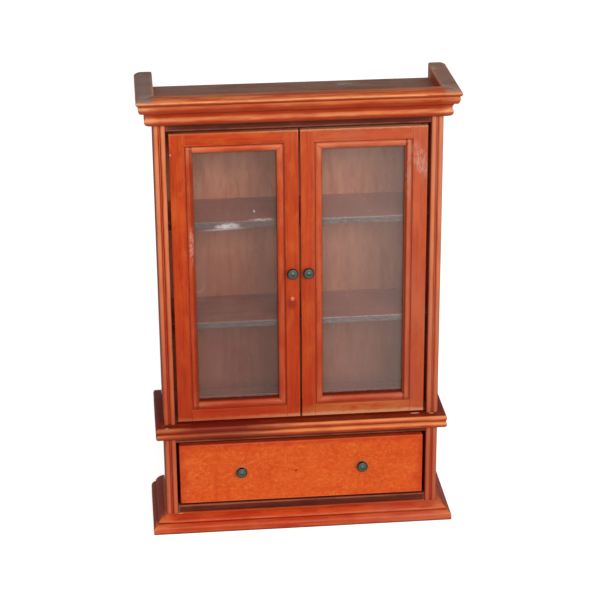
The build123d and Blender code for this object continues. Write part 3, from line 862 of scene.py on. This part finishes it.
right_panel = drawn_out("right_side_panel_wood", [Vector((x, y, 0)) * MM for x, y in (
    (SIDE_INNER, PANEL_FRONT), (HALF, PANEL_FRONT), (HALF, BACK), (SIDE_INNER + BACK_THICK, BACK),
    (SIDE_INNER + BACK_THICK, BACK_FACE), (SIDE_INNER, BACK_FACE))], (0, 0, PANEL_TOP * MM))
left_panel = mirrored(right_panel, "left_side_panel_wood")
finish_wood(right_panel, "right_side_panel", carcass_wood, "Z")
finish_wood(left_panel, "left_side_panel", carcass_wood, "Z")


def notched(node, front_x, front_y, back_x, back_y, tone):
    """A board whose front strip is wider or narrower than the rest, to fit round the posts."""
    low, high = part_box(node)
    plan = ((-front_x, front_y), (front_x, front_y), (front_x, PANEL_FRONT), (back_x, PANEL_FRONT),
            (back_x, back_y), (-back_x, back_y), (-back_x, PANEL_FRONT), (-front_x, PANEL_FRONT))
    piece = drawn_out(f"{node}_wood", [Vector((x * MM, y * MM, low.z)) for x, y in plan],
                      (0, 0, high.z - low.z))
    finish_wood(piece, node, tone, "X")


notched("frieze_rail", POST_INNER, FACE, SIDE_INNER, RAIL_BACK, rail_stain_and_shade)
notched("middle_board", HALF, POST_FACE, HOUSED, BACK_FACE, ledge_wood)
notched("waist_rail", POST_INNER, FACE, SIDE_INNER, RAIL_BACK, rail_stain_and_shade)
notched("bottom_board", POST_INNER, FACE, HOUSED, BACK_FACE, rail_stain_and_shade)

low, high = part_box("plinth_rail")
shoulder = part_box("bottom_board")[0].z
plinth_rail = drawn_out("plinth_rail_wood", [Vector((low.x, y, z)) for y, z in (
    (low.y, low.z), (high.y, low.z), (high.y, shoulder), (FACE * MM, shoulder), (FACE * MM, high.z),
    (low.y, high.z))], (high.x - low.x, 0, 0))
finish_wood(plinth_rail, "plinth_rail", plinth_wood, "X", rub=0.3)

# ---------------------------------------------------------------- the case: reeded posts
reed_left, reed_right = POST_INNER + 1.9, POST_INNER + 2.5
reed_edge, groove = POST_FACE + 0.55, POST_FACE + 0.8
post_plan = with_holding_points(
    [(POST_INNER, PANEL_FRONT)]
    + arc((POST_INNER, reed_edge), ((POST_INNER + reed_left) / 2, POST_FACE), (reed_left, reed_edge), 9)
    + [(reed_left, reed_edge), (reed_left + 0.2, groove), (reed_right - 0.2, groove)]
    + arc((reed_right, reed_edge), ((reed_right + HALF) / 2, POST_FACE), (HALF, reed_edge), 9)
    + [(HALF, reed_edge), (HALF, PANEL_FRONT)])
for level in ("upper", "lower"):
    low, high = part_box(f"right_{level}_post")
    post = drawn_out(f"right_{level}_post_reeds", [Vector((x * MM, y * MM, low.z)) for x, y in post_plan],
                     (0, 0, high.z - low.z))
    twin = mirrored(post, f"left_{level}_post_reeds")
    for side, piece in (("right", post), ("left", twin)):
        finish_wood(piece, f"{side}_{level}_post", post_wood, "Z", framed=False, eased=0.3 * MM,
                    pool_reach=0.8 * MM, rub=1.1)

# ---------------------------------------------------------------- the case: mitred mouldings
# Outlines are (distance out from the case, height).
CORNICE = (
    arc((-0.9, 174.3), (-0.7, 174.8), (-0.2, 175.0), 4) + [(-0.2, 175.0)]
    + arc((3.2, 175.0), (4.24, 174.86), (5.2, 174.45), 5)
    + arc((5.2, 174.45), (5.7, 174.05), (5.9, 173.4), 5) + arc((5.9, 173.4), (5.7, 172.95), (5.2, 172.55), 4)
    + arc((5.0, 172.35), (5.15, 171.1), (4.4, 169.5), 8) + [(4.4, 169.5)]
    + arc((3.3, 169.2), (2.8, 168.3), (2.7, 167.3), 5) + arc((2.7, 167.3), (3.1, 166.0), (1.9, 164.4), 8)
    + [(1.9, 164.4), (0.9, 164.0), (0.0, 164.0), (0.0, 169.2), (-0.9, 169.2)])
WAIST = (
    [(0.0, 44.5)] + arc((2.6, 44.5), (3.3, 43.2), (2.6, 41.9), 9)
    + arc((2.6, 41.9), (3.3, 40.6), (2.6, 39.3), 9) + [(2.6, 39.3), (0.0, 39.3)])
PLINTH = (
    [(0.0, 6.5)] + arc((0.5, 6.5), (2.5, 5.75), (3.7, 4.4), 8) + [(3.7, 4.4)]
    + arc((3.5, 4.0), (4.85, 3.35), (5.5, 2.1), 8) + [(5.5, 2.1)]
    + arc((5.5, 0.5), (5.35, 0.15), (5.0, 0.0), 4) + [(5.0, 0.0), (0.0, 0.0)])
CORNER = Vector((HALF, POST_FACE, 0)) * MM
LEFT_CORNER = Vector((-HALF, POST_FACE, 0)) * MM
REACH = HALF + 7.0              # past the widest moulding, to leave wood for the mitres

for title, outline, tone in (("cornice", CORNICE, moulding_wood), ("waist", WAIST, waist_wood),
                             ("plinth", PLINTH, plinth_wood)):
    outline = with_holding_points(outline)
    front = drawn_out(f"{title}_front_moulding",
                      [Vector((-REACH, POST_FACE - out, z)) * MM for out, z in outline],
                      (2 * REACH * MM, 0, 0))
    cut_away(front, CORNER, (1, 1, 0))
    cut_away(front, LEFT_CORNER, (-1, 1, 0))
    right = drawn_out(f"right_{title}_side_moulding",
                      [Vector((HALF + out, BACK, z)) * MM for out, z in outline],
                      (0, -(BACK + REACH / 2) * MM, 0))
    cut_away(right, CORNER, (-1, -1, 0))
    left = mirrored(right, f"left_{title}_side_moulding")
    finish_wood(front, f"{title}_front", tone, "X", framed=False, eased=0.1 * MM)
    finish_wood(right, f"right_{title}_side", tone, "Y", framed=False, eased=0.16 * MM)
    finish_wood(left, f"left_{title}_side", tone, "Y", framed=False, eased=0.16 * MM)

# ---------------------------------------------------------------- the doors
low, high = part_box("right_door_pane")
BEAD_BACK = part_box("right_door_top_bead")[1].y
BEAD = with_holding_points(
    [(0.0, 0.0), (0.0, 1.3), (0.35, 1.3)] + arc((0.36, 1.32), (1.5, 1.9), (3.0, 1.0), 10)
    + [(3.0, 1.0), (3.0, 0.0)], 0.6)
BEAD_RUNS = (
    ("bottom_bead", (low.x, low.z), Vector((1, 0, 0)), Vector((0, 0, 1))),
    ("hinge_bead", (high.x, low.z), Vector((0, 0, 1)), Vector((-1, 0, 0))),
    ("top_bead", (high.x, high.z), Vector((-1, 0, 0)), Vector((0, 0, -1))),
    ("meeting_bead", (low.x, high.z), Vector((0, 0, -1)), Vector((1, 0, 0))),
)


def both_doors(right, part, finish_one):
    """Finish a right-door piece and its left-door twin."""
    suffix = right.name.removeprefix(f"right_door_{part}")
    left = mirrored(right, f"left_door_{part}{suffix}")
    finish_one(right, f"right_door_{part}")
    finish_one(left, f"left_door_{part}")


for part, grain in (("hinge_stile", "Z"), ("meeting_stile", "Z"), ("top_rail", "X"), ("bottom_rail", "X")):
    both_doors(sawn(f"right_door_{part}"), part,
               lambda piece, node: finish_wood(piece, node, door_wood, grain, eased=0.07 * MM, rub=0.15))

for part, (x, z), run, inwards in BEAD_RUNS:
    span = high.x - low.x if run.x else high.z - low.z
    start = Vector((x, BEAD_BACK, z))
    bead = drawn_out(f"right_door_{part}_moulding",
                     [start + inwards * w * MM + Vector((0, -d * MM, 0)) for w, d in BEAD], run * span)
    cut_away(bead, start, inwards - run)
    cut_away(bead, start + run * span, inwards + run)
    both_doors(bead, part, lambda piece, node: finish_wood(
        piece, node, bead_wood, "X" if run.x else "Z", framed=False, eased=0.08 * MM, wave=0.05, rub=0.8))


def finish_sheet(piece, node):
    """Break the sawn corners of a pane."""
    open_shape(piece, "EDGE")
    bpy.ops.mesh.select_all(action="SELECT")
    bpy.ops.mesh.bevel(offset=0.08 * MM, segments=2, affect="EDGES")
    close_shape()
    bpy.ops.object.shade_smooth_by_angle(angle=SMOOTH)
    place_piece(piece, node, acrylic_sheet)


both_doors(sawn("right_door_pane", "right_door_pane_sheet"), "pane", finish_sheet)


# ---------------------------------------------------------------- turned metal
def turned(name, centre, facing, rings, sides=32):
    """A solid turned on a lathe: rings of (radius, distance along the axis), first to last."""
    bpy.ops.object.select_all(action="DESELECT")
    turn = Vector((0, 0, 1)).rotation_difference(Vector(facing)).to_euler()
    bpy.ops.mesh.primitive_circle_add(vertices=sides, radius=rings[0][0] * MM, fill_type="NGON",
                                      location=Vector(centre) + Vector(facing) * rings[0][1] * MM,
                                      rotation=turn)
    piece = settle(bpy.context.object, name)
    open_shape(piece)
    bpy.ops.mesh.select_all(action="SELECT")
    for (r0, d0), (r1, d1) in zip(rings, rings[1:]):
        bpy.ops.mesh.extrude_region_move(TRANSFORM_OT_translate={"value": Vector(facing) * (d1 - d0) * MM})
        middle = Vector(centre) + Vector(facing) * d1 * MM
        bpy.ops.transform.resize(value=(r1 / r0,) * 3, center_override=middle)
    close_shape(tidy_normals=True)
    bpy.ops.object.shade_smooth_by_angle(angle=SHARP)
    return piece


KNOB_RINGS = [(0.6, -2.2), (0.6, 0.0), (1.25, 0.02), (1.28, 0.18), (1.2, 0.36), (0.95, 0.6),
              (0.86, 0.9), (0.92, 1.2), (1.15, 1.45), (1.6, 1.66), (1.95, 1.9), (2.08, 2.15),
              (2.1, 2.3), (2.04, 2.52), (1.86, 2.74), (1.6, 2.88), (1.42, 2.92), (1.3, 2.88),
              (1.12, 2.86), (0.9, 2.92), (0.6, 3.04), (0.3, 3.12), (0.1, 3.15)]
for node in ("right_door_knob", "left_door_knob", "right_drawer_knob", "left_drawer_knob"):
    low_corner, high_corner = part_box(node)
    middle = (low_corner + high_corner) / 2
    knob = turned(f"{node}_turned", (middle.x, FACE * MM, middle.z), (0, -1, 0), KNOB_RINGS)
    place_piece(knob, node, pewter_metal)

for node in ("right_door_top_pin", "right_door_bottom_pin", "left_door_top_pin", "left_door_bottom_pin"):
    low_corner, high_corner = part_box(node)
    middle, tall = (low_corner + high_corner) / 2, (high_corner.z - low_corner.z) / MM
    pin = turned(f"{node}_wire", (middle.x, middle.y, low_corner.z), (0, 0, 1),
                 [(0.28, 0.0), (0.4, 0.12), (0.4, tall / 2), (0.4, tall - 0.12), (0.28, tall)], 20)
    place_piece(pin, node, brass_wire)

# ---------------------------------------------------------------- the drawer
finish_wood(sawn("drawer_front"), "drawer_front", drawer_wood, "X", eased=0.3 * MM)
drawer_side = sawn("right_drawer_side")
other_side = mirrored(drawer_side, "left_drawer_side_wood")
finish_wood(drawer_side, "right_drawer_side", box_wood, "Y")
finish_wood(other_side, "left_drawer_side", box_wood, "Y")
finish_wood(sawn("drawer_back"), "drawer_back", box_wood, "X")
finish_wood(sawn("drawer_bottom"), "drawer_bottom", box_wood, "X")


# ---------------------------------------------------------------- traces of the maker's hand
def droplet(name, body, centre, size, material, seed):
    """A dried drop, flattened against the wood and a little lumpy."""
    bpy.ops.object.select_all(action="DESELECT")
    bpy.ops.mesh.primitive_ico_sphere_add(subdivisions=3, radius=1, location=Vector(centre) * MM,
                                          scale=Vector(size) * MM)
    drop = settle(bpy.context.object, name)
    open_shape(drop)
    bpy.ops.mesh.select_all(action="SELECT")
    bpy.ops.transform.vertex_random(offset=0.10 * min(size) * MM, normal=0.5, seed=seed)
    bpy.ops.mesh.vertices_smooth(factor=0.5, repeat=2)
    close_shape(tidy_normals=True)
    bpy.ops.object.shade_smooth()
    drop.data.materials.append(material)
    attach(drop, body)


droplet("meeting_stile_pin_filler", "left_door", (-2.97, FACE, 94.15), (0.85, 0.3, 0.9), filler,
        1)
for number, (body, centre, size) in enumerate((
        ("case", (-51.9, -16.2, 44.40), (0.8, 0.5, 0.20)),
        ("case", (-47.6, -13.9, 6.5), (1.1, 0.4, 0.25)),
        ("case", (44.0, -13.1, 44.50), (2.0, 0.4, 0.22)),
        ("case", (50.4, -13.8, 44.55), (0.9, 0.4, 0.22)),
        ("left_door", (-46.98, -12.55, 152.3), (0.32, 0.2, 0.55))), 1):
    droplet(f"glue_drop_{number}", body, centre, size, glue_drop, number)

# ---------------------------------------------------------------- floor, light and camera
bpy.ops.object.select_all(action="DESELECT")
bpy.ops.mesh.primitive_plane_add(size=60)
floor = bpy.context.object
floor.name = "studio_floor"
floor_paint, floor_wire, floor_shader, floor_place = new_material("pale floor")
cast = floor_place.scaled((0.004, 0.004, 0.004)).noise(2.0)
hook(floor_wire, floor_shader["Base Color"], cast.blend((0.90, 0.90, 0.90), (0.94, 0.94, 0.94)))
floor_shader["Roughness"].default_value = 0.9
floor_shader["Specular IOR Level"].default_value = 0.1
floor_shader["Emission Color"].default_value = (1, 1, 1, 1)
floor_shader["Emission Strength"].default_value = 0.68
floor.data.materials.append(floor_paint)
floor.visible_diffuse = False
floor.visible_glossy = False

scene = bpy.context.scene
scene.view_settings.view_transform = "Standard"
world = bpy.data.worlds.new("studio")
world.use_nodes = True
world.node_tree.nodes["Background"].inputs["Color"].default_value = (1.0, 1.0, 1.0, 1)
world.node_tree.nodes["Background"].inputs["Strength"].default_value = 0.30
scene.world = world


def softbox(name, place, aim, width, height, power, tint=(1, 1, 1)):
    """A rectangular studio light that faces its aim."""
    lamp = bpy.data.lights.new(name, "AREA")
    lamp.shape = "RECTANGLE"
    lamp.size, lamp.size_y = width, height
    lamp.energy = power
    lamp.color = tint
    stand = bpy.data.objects.new(name, lamp)
    stand.location = place
    stand.rotation_euler = (Vector(aim) - Vector(place)).to_track_quat("-Z", "Y").to_euler()
    scene.collection.objects.link(stand)


softbox("front softbox", (0.35, -2.2, 1.0), (0, 0, 0.09), 2.2, 1.1, 49)

lens = bpy.data.cameras.new("camera")
lens.sensor_width = 36
lens.lens = 115.9
lens.clip_start = 0.01
camera = bpy.data.objects.new("camera", lens)
YAW, PITCH, ROLL = 0.093, -0.389, -0.008
camera.matrix_world = (Matrix.Translation((-0.0625, -0.6809, 0.3687)) @ Matrix.Rotation(-YAW, 4, "Z")
                       @ Matrix.Rotation(math.pi / 2 + PITCH, 4, "X") @ Matrix.Rotation(ROLL, 4, "Z"))
scene.collection.objects.link(camera)
scene.camera = camera
